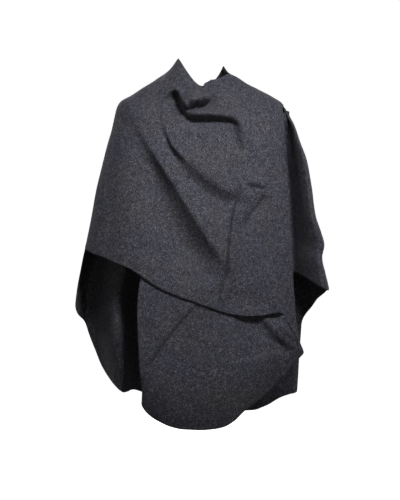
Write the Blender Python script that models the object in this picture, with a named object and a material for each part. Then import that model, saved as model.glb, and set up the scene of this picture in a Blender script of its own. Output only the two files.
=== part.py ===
"""A felted wool wrap poncho, worn: the right front crosses the chest to the left shoulder.

Sizes are in millimetres and turned to metres where the meshes are made. +Z is up, the garment
faces -Y, and the origin is the middle of the base of the neck, where the shoulders hold it.
"""

import bpy
import numpy as np

MM = 0.001
WALL = 2.4
SEAM_GAP = 0.4
SEAM_REACH = 1.0  # a seam column's points this near y = 0 are in the seam
FINE_STEPS = 240  # samples along a fall before it is cut into rows
SETTLING_STEPS = 8  # to find the height at which a line given from the front meets a ring
SAMPLES_PER_FOLD = 40
FINEST_FOLD = 20  # no fold of these walls is narrower than this

# The silhouette from the front: how far the cloth reaches at each height. Left and right are the
# viewer's here, so the wearer's right arm is at the left.
LEFT_OUTLINE = (  # z, x
    (84, -67), (62, -84), (50, -97), (30, -126), (8, -155), (-15, -186), (-36, -221), (-50, -229),
    (-81, -237), (-116, -246), (-146, -255), (-227, -277), (-300, -293), (-400, -311), (-464, -325),
    (-540, -340), (-600, -345), (-700, -346), (-950, -346),
)
RIGHT_OUTLINE = (  # z, x
    (64, 55), (46, 68), (32, 93), (16, 119), (3, 146), (-22, 189), (-36, 211), (-50, 221),
    (-68, 232), (-94, 246), (-135, 259), (-189, 276), (-265, 289), (-340, 300), (-381, 314),
    (-417, 323), (-448, 317), (-491, 325), (-540, 334), (-640, 330), (-950, 320),
)
# The straight edge of the wrapped front, and of the fall below it.
WRAP_EDGE = (  # z, x
    (-20, 235), (-40, 217), (-56, 212), (-141, 213), (-232, 221), (-332, 227), (-411, 232), (-505, 238),
    (-576, 245), (-634, 250), (-663, 256), (-703, 260), (-950, 262),
)

# Rings of the worn form, from the neck edge down: heights of each side, reach to front and back,
# and how far past the wrapped edge the front's own ring would close.
RING_COLUMNS = (
    "left_z", "right_z", "front_z", "back_z", "front_y", "back_y",
    "past_edge", "square", "left_dip", "right_dip",
)
RINGS = (  # square: 2 is an ellipse, more is a fuller ring; dips: 2 is round, less is a V, more is a U
    (84, 64, 0, 18, -62, 62, 9, 2.0, 1.35, 2.6),  # neck edge
    (62, 46, -20, 8, -78, 74, 9, 2.0, 1.5, 2.4),  # neck base
    (32, 28, -42, -6, -90, 88, 9, 2.1, 1.7, 2.2),  # inner shoulder
    (2, 4, -66, -22, -102, 100, 9, 2.2, 1.9, 2.1),  # shoulder
    (-22, -18, -88, -42, -112, 110, 9, 2.3, 2.0, 2.0),  # outer shoulder
    (-45, -40, -112, -66, -121, 119, 16, 2.4, 2.0, 2.0),  # shoulder tip
    (-86, -82, -146, -104, -132, 126, 28, 2.4, 2.0, 2.0),  # arm top
    (-146, -144, -196, -158, -142, 131, 40, 2.4, 2.0, 2.0),
    (-220, -218, -260, -228, -150, 136, 47, 2.4, 2.0, 2.0),
    (-310, -308, -335, -312, -156, 143, 48, 2.4, 2.0, 2.0),  # elbow
    (-400, -398, -415, -400, -161, 153, 48, 2.4, 2.0, 2.0),
    (-490, -488, -500, -490, -166, 166, 48, 2.4, 2.0, 2.0),
    (-590, -590, -596, -590, -170, 182, 46, 2.4, 2.0, 2.0),  # hand
    (-700, -700, -702, -700, -174, 200, 44, 2.4, 2.0, 2.0),
    (-820, -820, -820, -820, -176, 216, 42, 2.4, 2.0, 2.0),
    (-950, -950, -950, -950, -178, 230, 40, 2.4, 2.0, 2.0),
)
SHOULDER_TIP = 5
LAST_RING = len(RINGS) - 1

# Hems, as seen from the front.
RIM_DROP = 0.55  # rings by which the right front's neck edge lies lower at the left shoulder
RIM_DROP_START = 0.6  # of the way across the right front
WRAP_HEM = (  # x, z
    (-346, -424), (-320, -427), (-292, -440), (-263, -450), (-222, -466), (-193, -478), (-161, -498),
    (-111, -530), (-57, -553), (-11, -569), (28, -583), (72, -596), (115, -602), (161, -600),
    (200, -595), (222, -594), (238, -606), (252, -622),
)
FALL_HEM = (  # x, z
    (-161, -828), (-148, -846), (-120, -866), (-83, -883), (-47, -890), (-5, -892), (28, -889),
    (54, -883), (77, -870), (106, -843), (137, -825), (176, -795), (213, -758), (237, -726), (260, -703),
)
FALL_INNER_EDGE = (  # z, x
    (45, 30), (20, 52), (-20, 60), (-60, 44), (-150, -36), (-320, -112), (-502, -163), (-561, -170),
    (-598, -171), (-667, -168), (-736, -165), (-801, -159), (-840, -160), (-950, -160),
)
BACK_HEM = (  # x, z, from the left side seam round to the right
    (-322, -432), (-327, -464), (-334, -505), (-343, -555), (-345, -587), (-342, -602), (-329, -626),
    (-315, -662), (-297, -708), (-279, -752), (-256, -784), (-226, -812), (-196, -828), (-160, -842),
    (-60, -868), (60, -886), (144, -888), (179, -877), (218, -850), (242, -838), (262, -828),
    (265, -805), (267, -746), (270, -680), (274, -636), (284, -614), (303, -588), (318, -564), (334, -540),
)
MM_PER_DEGREE = 7  # round the back's hem, for spacing its columns
HEM_STEP = 1.5  # degrees, the least between two rows of the back's hem
DRAPE_HEM = (  # share of the way from the side seam, z
    (0.0, -540), (0.2, -537), (0.4, -527), (0.6, -505), (0.8, -492), (1.0, -486),
)

# The drape's section at each height: how far its ridge, valley and inner end stand to the front.
DRAPE_TOP = SHOULDER_TIP + 0.25  # ring where the drape begins
DRAPE_DEPTHS = (  # z, ridge, valley, end
    (-40, -6, -8, -12),
    (-62, -12, -14, -20),
    (-100, -34, -22, -34),
    (-200, -56, -26, -44),
    (-320, -60, -20, -50),
    (-420, -66, -14, -52),
    (-540, -72, -8, -54),
)
# Stations across that section: share of its width, reach from the wrapped edge to the silhouette,
# mm past it, and shares of the three depths above.
DRAPE_STATIONS = (
    (0.00, 1.00, 0, (0.0, 0.0, 0.0)),  # side seam
    (0.18, 0.97, 0, (0.42, 0.0, 0.0)),
    (0.42, 0.56, 0, (1.0, 0.0, 0.0)),  # ridge
    (0.62, 0.24, 0, (0.5, 0.5, 0.0)),
    (0.80, 0.00, 5, (0.0, 1.0, 0.0)),  # valley
    (1.00, 0.00, -24, (0.0, 0.0, 1.0)),  # inner end
)
DRAPE_LEAN = 18  # mm by which the inner end hangs lower than the seam

# Main folds of the fronts: ridge height (troughs are negative), width above and below the line,
# how far the fold sags down, then its line as seen from the front.
FOLD_COLUMNS = ("height", "above", "below", "sag")
WRAP_FOLDS = (
    ("long diagonal", (-14, 13, 26, 0),
     ((-206, -62), (-134, -170), (-83, -260), (-31, -349), (18, -435), (66, -505))),
    ("long ridge", (8, 22, 14, 0), ((-180, -70), (-108, -162), (-56, -252), (0, -345), (46, -430))),
    ("short", (-10, 12, 9, 0), ((-110, -60), (-98, -95), (-84, -148), (-54, -192))),
    ("cross ridge", (9, 24, 9, 0), ((-66, -180), (-31, -203), (34, -227), (104, -256), (160, -262))),
    ("cross hollow", (-12, 14, 26, 0), ((-47, -212), (-2, -248), (40, -285), (75, -318))),
    ("cowl roll", (13, 14, 9, 8),
     ((-54, -30), (-47, -52), (-37, -68), (-13, -74), (29, -72), (60, -72), (102, -86))),
    ("under the cowl", (-13, 6, 12, 0), ((-44, -84), (-30, -92), (29, -93), (78, -92), (104, -100))),
    ("cowl side", (-15, 10, 10, 0), ((-84, -22), (-70, -26), (-58, -52), (-46, -80))),
    ("pocket", (-12, 9, 9, 0), ((-30, -52), (-8, -42), (18, -24))),
)
FALL_FOLDS = (
    ("side trough", (-11, 13, 16, 0), ((150, -596), (180, -640), (215, -676), (256, -712))),
    ("side ridge", (8, 10, 12, 0), ((190, -624), (222, -656), (260, -690))),
)
FOLD_END = 0.22  # share of a fold's length over which it fades in, and out
# Flutes of the back: angle at the shoulder and at the hem, half width in degrees, depth backward.
FLUTES = (
    ("outer valley", (148, 163, 6, 12)),
    ("inner ridge", (139, 138, 9, -34)),
    ("inner valley", (122, 121, 8, 16)),
    ("left back", (104, 102, 8, -14)),
    ("centre back", (92, 88, 9, 15)),
    ("right back", (76, 73, 8, -13)),
    ("outer right", (60, 58, 8, 14)),
    ("right edge", (44, 41, 5, -14)),
)
FLUTE_START = 4.5  # ring where the flutes begin
FLUTE_FULL = 13  # ring where they reach their whole depth

# How far each layer lies inside the form, by height.
FALL_TOP = 1.6  # ring where the left front begins, on the shoulder
FALL_OFF_SEAM = 8  # degrees from the side seam
FALL_INSET = -4  # its outer edge lies this far inside the wrapped edge
FALL_UNDER = 3.6  # inward at its top edge
FALL_PARTING = 0.35  # further inward for each mm down, until the table below
FALL_LAYER = (  # z, mm inward
    (70, 24), (-260, 24), (-480, 16), (-560, 6), (-620, 4), (-950, 4),
)

MIDDLE_CROWDING = 0.4  # how much closer the right front's columns are over the chest
ROWS = {"right_front": 34, "left_front": 26, "left_arm_drape": 20, "back": 25}
COLUMNS = {"right_front": 44, "left_front": 20, "left_arm_drape": 12, "back": 40}

WOOL = (0.072, 0.071, 0.080, 1.0)
WOOL_SHADES = {"right_front": 1.0, "left_front": 0.8, "left_arm_drape": 0.6, "back": 0.7}
ROUGHNESS = 0.95


def smooth(x, xs, ys):
    """A monotone cubic through the points (xs, ys), which may run either way."""
    xs, ys = np.asarray(xs, float), np.asarray(ys, float)
    if xs[0] > xs[-1]:
        xs, ys = xs[::-1], ys[::-1]
    step = np.diff(xs)
    slope = np.diff(ys) / step
    same_way = slope[1:] * slope[:-1] > 0
    inner = np.where(same_way, 2 * slope[1:] * slope[:-1] / np.where(same_way, slope[1:] + slope[:-1], 1), 0)
    tangent = np.concatenate([[slope[0]], inner, [slope[-1]]])
    x = np.clip(x, xs[0], xs[-1])
    i = np.clip(np.searchsorted(xs, x, side="right") - 1, 0, len(step) - 1)
    t = (x - xs[i]) / step[i]
    return (
        ys[i] * (1 + 2 * t) * (1 - t) ** 2
        + tangent[i] * step[i] * t * (1 - t) ** 2
        + ys[i + 1] * t * t * (3 - 2 * t)
        - tangent[i + 1] * step[i] * t * t * (1 - t)
    )


def along(points, x):
    """The value at x of a table of pairs, smoothed."""
    table = np.array(points, float)
    return smooth(x, table[:, 0], table[:, 1])


def ring_value(column, level):
    rows = np.array(RINGS, float)
    return smooth(level, np.arange(len(RINGS)), rows[:, RING_COLUMNS.index(column)])


def ease(t):
    t = np.clip(t, 0, 1)
    return t * t * (3 - 2 * t)


def power(value, exponent):
    return np.sign(value) * np.abs(value) ** exponent


def reaches(level, tucked):
    """How far a ring reaches to the wearer's right and left."""
    right_z = ring_value("right_z", level)
    left_x, right_x = along(LEFT_OUTLINE, ring_value("left_z", level)), along(RIGHT_OUTLINE, right_z)
    if tucked:
        right_x = np.minimum(right_x, along(WRAP_EDGE, right_z) + ring_value("past_edge", level))
    return left_x, right_x


def form(angle, level, tucked=False):
    """Points of the worn form. Angle 0 is the wearer's left, 90 the back, 180 the right, 270 the front.

    tucked gives the narrower ring of the two fronts, which closes just past the wrapped edge.
    """
    angle, level = np.broadcast_arrays(np.asarray(angle, float), np.asarray(level, float))
    across, away = np.cos(np.radians(angle)), np.sin(np.radians(angle))
    left_x, right_x = reaches(level, tucked)
    exponent = 2 / ring_value("square", level)
    x = (left_x + right_x) / 2 + (right_x - left_x) / 2 * power(across, exponent)
    y = np.where(away < 0, -ring_value("front_y", level), ring_value("back_y", level)) * power(away, exponent)
    side_z = np.where(across < 0, ring_value("left_z", level), ring_value("right_z", level))
    middle_z = np.where(away < 0, ring_value("front_z", level), ring_value("back_z", level))
    dip = np.where(across < 0, ring_value("left_dip", level), ring_value("right_dip", level))
    to_side = np.abs(across) ** dip
    z = side_z * to_side + middle_z * (1 - to_side)
    return np.stack([x, y, z], axis=-1)


def rows_down(grid):
    """How far each point of a grid lies below the grid's top edge, along the cloth."""
    steps = np.linalg.norm(np.diff(grid, axis=0), axis=-1)
    return np.concatenate([np.zeros((1, grid.shape[1])), np.cumsum(steps, axis=0)])


def cut_rows(fall, end, rows):
    """Equal steps down one fall of points, ended at the share end of its samples."""
    length = np.concatenate([[0], np.cumsum(np.linalg.norm(np.diff(fall, axis=0), axis=1))])
    stop = np.interp(end, np.arange(len(fall)), length)
    steps = np.linspace(0, stop, rows + 1)
    return np.stack([np.interp(steps, length, fall[:, axis]) for axis in range(3)], axis=1)


def crossing(values):
    """Where the values first fall below 0, as a fractional index."""
    below = np.nonzero(values < 0)[0]
    if not len(below) or below[0] == 0:
        return len(values) - 1
    i = below[0]
    return i - 1 + values[i - 1] / (values[i - 1] - values[i])


def normals_of(grid):
    """Unit normals of a grid of points, to the outside of the garment."""
    down, across = np.gradient(grid, axis=0), np.gradient(grid, axis=1)
    normal = np.cross(down, across)
    return normal / np.maximum(np.linalg.norm(normal, axis=-1, keepdims=True), 1e-9)


def fold_line(points):
    """A smooth line through a fold's points."""
    points = np.array(points, float)
    run = np.concatenate([[0], np.cumsum(np.linalg.norm(np.diff(points, axis=0), axis=1))])
    at = np.linspace(0, run[-1], SAMPLES_PER_FOLD)
    return np.stack([smooth(at, run, points[:, axis]) for axis in range(2)], axis=1)


def fold_depths(grid, folds):
    """How far each point moves out and down for the folds, from its place as seen from the front."""
    out, down = np.zeros(grid.shape[:2]), np.zeros(grid.shape[:2])
    seen = grid[..., [0, 2]]
    for _, sizes, points in folds:
        size = dict(zip(FOLD_COLUMNS, sizes))
        line = fold_line(points)
        start, step = line[:-1], np.diff(line, axis=0)
        reach = np.linalg.norm(step, axis=1)
        towards = seen[..., None, :] - start
        share = np.clip((towards * step).sum(-1) / reach**2, 0, 1)
        apart = towards - share[..., None] * step
        distance = np.linalg.norm(apart, axis=-1)
        nearest = distance.argmin(-1)[..., None]
        gap = np.take_along_axis(distance, nearest, -1)[..., 0]
        turn = step[:, 0] * towards[..., 1] - step[:, 1] * towards[..., 0]
        side = np.take_along_axis(turn, nearest, -1)[..., 0]
        place = (nearest[..., 0] + np.take_along_axis(share, nearest, -1)[..., 0]) / len(step)
        width = np.maximum(np.where(side > 0, size["above"], size["below"]), FINEST_FOLD)
        strength = ease(place / FOLD_END) * ease((1 - place) / FOLD_END)
        shape = np.exp(-((gap / width) ** 2)) * strength * (grid[..., 1] < 0)
        out += size["height"] * shape
        down += size["sag"] * shape
    return out, down


def folded(grid, folds):
    out, down = fold_depths(grid, folds)
    grid = grid + normals_of(grid) * out[..., None]
    grid[..., 2] -= down
    return grid


def angle_at(level, x):
    """The angle at which the tucked front ring reaches x."""
    left_x, right_x = reaches(level, tucked=True)
    share = np.clip((x - (left_x + right_x) / 2) / ((right_x - left_x) / 2), -1, 1)
    return 360 - np.degrees(np.arccos(power(share, ring_value("square", level) / 2)))


def back_hem(angles):
    """The height of the back's hem at each angle round the body."""
    rows = np.array(BACK_HEM, float)
    levels = np.arange(len(RINGS))
    level = np.interp(-rows[:, 1], -np.array([ring[1] for ring in RINGS]), levels)
    left_x, right_x = along(LEFT_OUTLINE, rows[:, 1]), along(RIGHT_OUTLINE, rows[:, 1])
    share = np.clip((rows[:, 0] - (left_x + right_x) / 2) / ((right_x - left_x) / 2), -1, 1)
    at = np.degrees(np.arccos(power(share, ring_value("square", level) / 2)))
    at[0], at[-1] = 180, 0
    for i in range(1, len(at) // 2):
        at[i] = min(at[i], at[i - 1] - HEM_STEP)
        at[-1 - i] = max(at[-1 - i], at[-i] + HEM_STEP)
    return smooth(angles, at, rows[:, 1])


def angle_along(edge, level, inset=0):
    """The angle of a line that is given as seen from the front, at each level."""
    height = ring_value("right_z", level)
    for _ in range(SETTLING_STEPS):
        angle = angle_at(level, along(edge, height) + inset)
        height = (height + form(angle, level, tucked=True)[:, 2]) / 2
    return angle


def wrap_grid(rows, columns):
    """The right front: from the right side seam across the chest to the wrapped edge."""
    falls = []
    for step in np.linspace(0, 1, columns + 1):
        share = step + MIDDLE_CROWDING * np.sin(2 * np.pi * step) / (2 * np.pi)
        top = RIM_DROP * ease((share - RIM_DROP_START) / (1 - RIM_DROP_START))
        level = np.linspace(top, LAST_RING, FINE_STEPS)
        angle = 180 + share * (angle_along(WRAP_EDGE, level) - 180)
        fall = form(angle, level, tucked=True)
        end = crossing(fall[:, 2] - along(WRAP_HEM, fall[:, 0]))
        falls.append(cut_rows(fall, end, rows))
    return np.stack(falls, axis=1)


def fall_grid(rows, columns):
    """The left front: under the right front from the left shoulder, then the long rounded fall."""
    level = np.linspace(FALL_TOP, LAST_RING, FINE_STEPS)
    inner = angle_along(FALL_INNER_EDGE, level)
    outer = np.minimum(angle_along(WRAP_EDGE, level, FALL_INSET), 360 - FALL_OFF_SEAM)
    falls = []
    for share in np.linspace(0, 1, columns + 1):
        fall = form(inner + share * (outer - inner), level, tucked=True)
        end = crossing(fall[:, 2] - along(FALL_HEM, fall[:, 0]))
        falls.append(cut_rows(fall, end, rows))
    grid = np.stack(falls, axis=1)
    inward = np.minimum(FALL_UNDER + FALL_PARTING * rows_down(grid), along(FALL_LAYER, grid[..., 2]))
    return grid - normals_of(grid) * inward[..., None]


def drape_grid(rows, columns):
    """The left arm drape: from the side seam round its ridge and into the valley behind the edge."""
    level = np.linspace(DRAPE_TOP, LAST_RING, FINE_STEPS)
    side = form(0.0, level)
    height = side[:, 2]
    edge = along(WRAP_EDGE, height)
    table = np.array(DRAPE_DEPTHS, float)
    depths = np.stack([smooth(height, table[:, 0], table[:, 1 + i]) for i in range(3)], axis=1)
    shares = [station[0] for station in DRAPE_STATIONS]
    x = np.stack([edge + reach * (side[:, 0] - edge) + past for _, reach, past, _ in DRAPE_STATIONS], axis=1)
    y = np.stack([depths @ np.array(parts) for _, _, _, parts in DRAPE_STATIONS], axis=1)
    falls = []
    for share in np.linspace(0, 1, columns + 1):
        across = [np.array([smooth(share, shares, row) for row in part]) for part in (x, y)]
        fall = np.stack([*across, height - DRAPE_LEAN * share], axis=1)
        end = crossing(fall[:, 2] - along(DRAPE_HEM, share))
        falls.append(cut_rows(fall, end, rows))
    return np.stack(falls, axis=1)[:, ::-1]


def back_grid(rows, columns):
    """The back, from the left side seam to the right, with its flutes."""
    level = np.linspace(0, LAST_RING, FINE_STEPS)
    angles = np.linspace(0, 180, FINE_STEPS)
    hem = back_hem(angles)
    run = np.concatenate([[0], np.cumsum(np.hypot(np.diff(angles) * MM_PER_DEGREE, np.diff(hem)))])
    falls = []
    for angle in np.interp(np.linspace(0, run[-1], columns + 1), run, angles):
        fall = form(angle, level)
        end = crossing(fall[:, 2] - back_hem(angle))
        growth = ease((level - FLUTE_START) / (FLUTE_FULL - FLUTE_START))
        depth = 0 * level
        for _, (top, bottom, width, out) in FLUTES:
            middle = top + (bottom - top) * level / LAST_RING
            depth += out * growth * np.exp(-(((angle - middle) / width) ** 2))
        fall[:, 1] += depth
        falls.append(cut_rows(fall, end, rows))
    return np.stack(falls, axis=1)


def cloth(name, grid, seams=(), side=-1):
    """A closed wall round a grid of points. Its seam columns end flat, half a gap to one side of y = 0."""
    rows, columns = grid.shape[0], grid.shape[1]
    normals = normals_of(grid)
    for column in seams:
        at_seam = np.abs(grid[:, column, 1]) < SEAM_REACH
        grid[at_seam, column, 1] = side * SEAM_GAP / 2
        normals[at_seam, column, 1] = 0
        normals[:, column] /= np.linalg.norm(normals[:, column], axis=-1, keepdims=True)
    offset = normals * WALL / 2
    vertices = np.concatenate([(grid + offset).reshape(-1, 3), (grid - offset).reshape(-1, 3)]) * MM
    inner = rows * columns
    faces = []
    for i in range(rows - 1):
        for j in range(columns - 1):
            a = i * columns + j
            b, c, d = a + 1, a + columns + 1, a + columns
            faces.append((a, d, c, b))
            faces.append((inner + a, inner + b, inner + c, inner + d))
    rim = list(range(columns))
    rim += [i * columns + columns - 1 for i in range(1, rows)]
    rim += [(rows - 1) * columns + j for j in range(columns - 2, -1, -1)]
    rim += [i * columns for i in range(rows - 2, 0, -1)]
    for a, b in zip(rim, rim[1:] + rim[:1]):
        faces.append((a, b, inner + b, inner + a))
    mesh = bpy.data.meshes.new(name)
    mesh.from_pydata(vertices.tolist(), [], faces)
    mesh.validate()
    mesh.shade_smooth()
    mesh.materials.append(wool(name))
    piece = bpy.data.objects.new(name, mesh)
    bpy.context.scene.collection.objects.link(piece)
    return piece


def wool(name):
    material = bpy.data.materials.new("wool_" + name)
    material.use_nodes = True
    shader = material.node_tree.nodes["Principled BSDF"]
    shade = WOOL_SHADES[name]
    shader.inputs["Base Color"].default_value = (WOOL[0] * shade, WOOL[1] * shade, WOOL[2] * shade, 1.0)
    shader.inputs["Roughness"].default_value = ROUGHNESS
    shader.inputs["Metallic"].default_value = 0.0
    return material


def main():
    for found in list(bpy.data.objects):
        bpy.data.objects.remove(found)
    wrap = folded(wrap_grid(ROWS["right_front"], COLUMNS["right_front"]), WRAP_FOLDS)
    cloth("right_front", wrap, seams=(0, -1))
    cloth("left_front", folded(fall_grid(ROWS["left_front"], COLUMNS["left_front"]), FALL_FOLDS))
    drape = drape_grid(ROWS["left_arm_drape"], COLUMNS["left_arm_drape"])
    cloth("left_arm_drape", drape, seams=(-1,))
    back = back_grid(ROWS["back"], COLUMNS["back"])
    cloth("back", back, seams=(0, -1), side=1)


main()
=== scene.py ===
"""A felted wool wrap poncho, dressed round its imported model: fine cloth, hems, stitching and studio.

Sizes are in millimetres and turned to metres where meshes are made. +Z is up and the garment faces -Y.
"""

import math

import bpy
import numpy as np
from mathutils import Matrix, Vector


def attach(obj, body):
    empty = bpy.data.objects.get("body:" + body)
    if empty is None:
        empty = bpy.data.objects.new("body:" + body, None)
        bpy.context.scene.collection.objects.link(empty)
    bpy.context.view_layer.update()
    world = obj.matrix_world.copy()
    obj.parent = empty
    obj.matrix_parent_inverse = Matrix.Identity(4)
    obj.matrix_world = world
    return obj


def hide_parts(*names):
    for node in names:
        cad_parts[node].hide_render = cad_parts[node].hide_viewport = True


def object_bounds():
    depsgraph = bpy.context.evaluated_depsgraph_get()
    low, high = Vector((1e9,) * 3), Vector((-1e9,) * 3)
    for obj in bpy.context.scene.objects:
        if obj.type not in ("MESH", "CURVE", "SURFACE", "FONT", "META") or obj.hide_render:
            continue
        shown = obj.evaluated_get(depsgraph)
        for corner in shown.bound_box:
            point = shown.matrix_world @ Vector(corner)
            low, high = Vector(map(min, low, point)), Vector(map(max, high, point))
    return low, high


bl_info = {
    "name": "Felted Wool Wrap Poncho",
    "version": (1, 0, 0),
    "blender": (4, 5, 0),
    "location": "3D View > Sidebar > Poncho",
    "description": "Dresses the packed poncho with fine cloth, hems and stitching, in a plain studio",
    "category": "Object",
}

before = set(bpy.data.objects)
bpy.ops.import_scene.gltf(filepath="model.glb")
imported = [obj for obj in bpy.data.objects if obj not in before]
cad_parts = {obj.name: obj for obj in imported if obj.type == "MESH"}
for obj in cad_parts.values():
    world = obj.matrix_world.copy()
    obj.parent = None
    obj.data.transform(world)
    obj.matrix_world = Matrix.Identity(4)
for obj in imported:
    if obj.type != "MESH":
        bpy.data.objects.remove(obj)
CAD_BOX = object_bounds()
MM = 0.001
CLOTH_BOTTOM = CAD_BOX[0].z

# The silhouette from the front, by height. Left and right are the viewer's here.
LEFT_OUTLINE = (  # z, x
    (84, -67), (62, -84), (50, -97), (30, -126), (8, -155), (-15, -186), (-36, -221), (-50, -229),
    (-81, -237), (-116, -246), (-146, -255), (-227, -277), (-300, -293), (-400, -311), (-464, -325),
    (-540, -340), (-600, -345), (-700, -346), (-950, -346),
)
RIGHT_OUTLINE = (  # z, x
    (64, 55), (46, 68), (32, 93), (16, 119), (3, 146), (-22, 189), (-36, 211), (-50, 221),
    (-68, 232), (-94, 246), (-135, 259), (-189, 276), (-265, 289), (-340, 300), (-381, 314),
    (-417, 323), (-448, 317), (-491, 325), (-540, 334), (-640, 330), (-950, 320),
)
WRAP_EDGE = (  # z, x of the wrapped front's straight edge, and of the fall's below it
    (-20, 235), (-40, 217), (-56, 212), (-141, 213), (-232, 221), (-332, 226), (-411, 230), (-505, 235),
    (-576, 240), (-634, 246), (-663, 252), (-703, 263), (-950, 265),
)

# Rings of the worn form, from the neck edge down.
RING_COLUMNS = (
    "left_z", "right_z", "front_z", "back_z", "front_y", "back_y",
    "past_edge", "square", "left_dip", "right_dip",
)
RINGS = (  # square: 2 is an ellipse, more is a fuller ring; dips: 2 is round, less is a V, more is a U
    (84, 64, 0, 18, -62, 62, 9, 2.0, 1.35, 2.6),  # neck edge
    (62, 46, -20, 8, -78, 74, 9, 2.0, 1.5, 2.4),  # neck base
    (32, 28, -42, -6, -90, 88, 9, 2.1, 1.7, 2.2),  # inner shoulder
    (2, 4, -66, -22, -102, 100, 9, 2.2, 1.9, 2.1),  # shoulder
    (-22, -18, -88, -42, -112, 110, 9, 2.3, 2.0, 2.0),  # outer shoulder
    (-45, -40, -112, -66, -121, 119, 16, 2.4, 2.0, 2.0),  # shoulder tip
    (-86, -82, -146, -104, -132, 126, 28, 2.4, 2.0, 2.0),  # below the shoulders
    (-146, -144, -196, -158, -142, 131, 40, 2.4, 2.0, 2.0),
    (-220, -218, -260, -228, -150, 136, 47, 2.4, 2.0, 2.0),
    (-310, -308, -335, -312, -156, 143, 48, 2.4, 2.0, 2.0),  # middle of the sides
    (-400, -398, -415, -400, -161, 153, 48, 2.4, 2.0, 2.0),
    (-490, -488, -500, -490, -166, 166, 48, 2.4, 2.0, 2.0),
    (-590, -590, -596, -590, -170, 182, 46, 2.4, 2.0, 2.0),  # front hem
    (-700, -700, -702, -700, -174, 200, 44, 2.4, 2.0, 2.0),
    (-820, -820, -820, -820, -176, 216, 42, 2.4, 2.0, 2.0),
    (-950, -950, -950, -950, -178, 230, 40, 2.4, 2.0, 2.0),
)
SHOULDER_TIP = 5  # which ring that is
LAST_RING = len(RINGS) - 1

# Hems, as seen from the front.
RIM_DROP = 1.25  # rings by which the right front's neck edge lies lower at the left shoulder
RIM_DROP_START = 0.62  # of the way across the right front
RIM_LIFT = (  # x, mm by which its neck edge stands higher
    (-90, 0), (1, 0), (4.5, 9), (12, 11), (20, 12), (30, 8), (40, 3), (52, 0), (90, 0),
)
RIM_LIFT_DEPTH = 42  # mm down from the edge over which that fades
CLOSER_AT_NECK = 0.42  # how much closer the right front's rows lie at the neck than on average
WRAP_HEM = (  # x, z
    (-346, -424), (-320, -427), (-292, -440), (-263, -450), (-222, -466), (-193, -478), (-161, -498),
    (-111, -530), (-57, -553), (-11, -569), (28, -583), (72, -596), (115, -602), (161, -600),
    (200, -594), (208, -598), (216, -610), (226, -628), (238, -648), (250, -664), (264, -674),
)
HEM_END = (198, 212)  # x between which that hem flattens away into the cloth beyond it
WRAP_STITCHES_STOP = 0.87  # of that hem, where its stitching ends
FALL_HEM = (  # x, z
    (-161, -834), (-148, -853), (-120, -874), (-83, -891), (-47, -898), (-5, -900), (28, -897),
    (54, -891), (77, -878), (106, -851), (137, -832), (176, -801), (213, -763), (240, -730), (266, -704),
)
FALL_INSIDE = 4  # mm by which the fall's outer edge lies inside the wrapped edge, above its tip
FALL_TIP_EDGE = ((-634, 243), (-663, 250), (-685, 258), (-703, 264), (-950, 266))  # z, x: on to its tip
FALL_OUTER_EDGE = (
    *((z, x - FALL_INSIDE) for z, x in WRAP_EDGE if z > FALL_TIP_EDGE[0][0]), *FALL_TIP_EDGE,
)
FALL_INNER_EDGE = (  # z, x
    (45, 30), (20, 52), (-20, 60), (-60, 44), (-150, -36), (-320, -112), (-502, -163), (-561, -170),
    (-598, -171), (-667, -168), (-736, -165), (-801, -159), (-840, -160), (-950, -160),
)
BACK_HEM = (  # x, z, from the left side seam round to the right
    (-322, -432), (-327, -464), (-334, -505), (-343, -555), (-345, -587), (-342, -602), (-329, -626),
    (-315, -662), (-297, -708), (-279, -752), (-256, -784), (-226, -812), (-196, -828), (-160, -842),
    (-60, -868), (60, -886), (144, -888), (179, -877), (218, -850), (245, -836), (272, -828),
    (273, -746), (273, -680), (275, -636), (284, -614), (303, -588), (318, -564), (334, -540),
)
MM_PER_DEGREE = 7  # round the back's hem, for spacing its columns
HEM_TURN = 0.7  # degrees, the least between two rows of the back's hem
DRAPE_HEM = (  # share of the way from the side seam, z
    (0.0, -540), (0.2, -537), (0.4, -527), (0.6, -505), (0.8, -492), (1.0, -486),
)

# The drape's section at each height: how far its ridge, valley and inner end stand to the front.
DRAPE_TOP = SHOULDER_TIP + 0.25  # ring where the drape begins
DRAPE_DEPTHS = (  # z, ridge, valley, end
    (-40, -6, -8, -12),
    (-62, -14, -8, -18),
    (-100, -46, 14, -22),
    (-200, -80, 40, -24),
    (-320, -90, 46, -26),
    (-420, -94, 46, -28),
    (-540, -96, 40, -30),
)
# Stations across that section: share of its width, reach from the wrapped edge to the silhouette,
# mm past it, and shares of the three depths above.
DRAPE_STATIONS = (
    (0.00, 1.00, 0, (0.0, 0.0, 0.0)),  # side seam
    (0.12, 1.00, 0, (0.5, 0.0, 0.0)),
    (0.30, 0.86, 0, (1.0, 0.0, 0.0)),  # ridge
    (0.48, 0.56, 5, (0.78, 0.22, 0.0)),
    (0.66, 0.14, 18, (0.34, 0.66, 0.0)),
    (0.84, 0.00, 12, (0.0, 1.0, 0.0)),  # valley
    (1.00, 0.00, -24, (0.0, 0.0, 1.0)),  # inner end
)
DRAPE_LEAN = 18  # mm by which the inner end hangs lower than the seam

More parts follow.
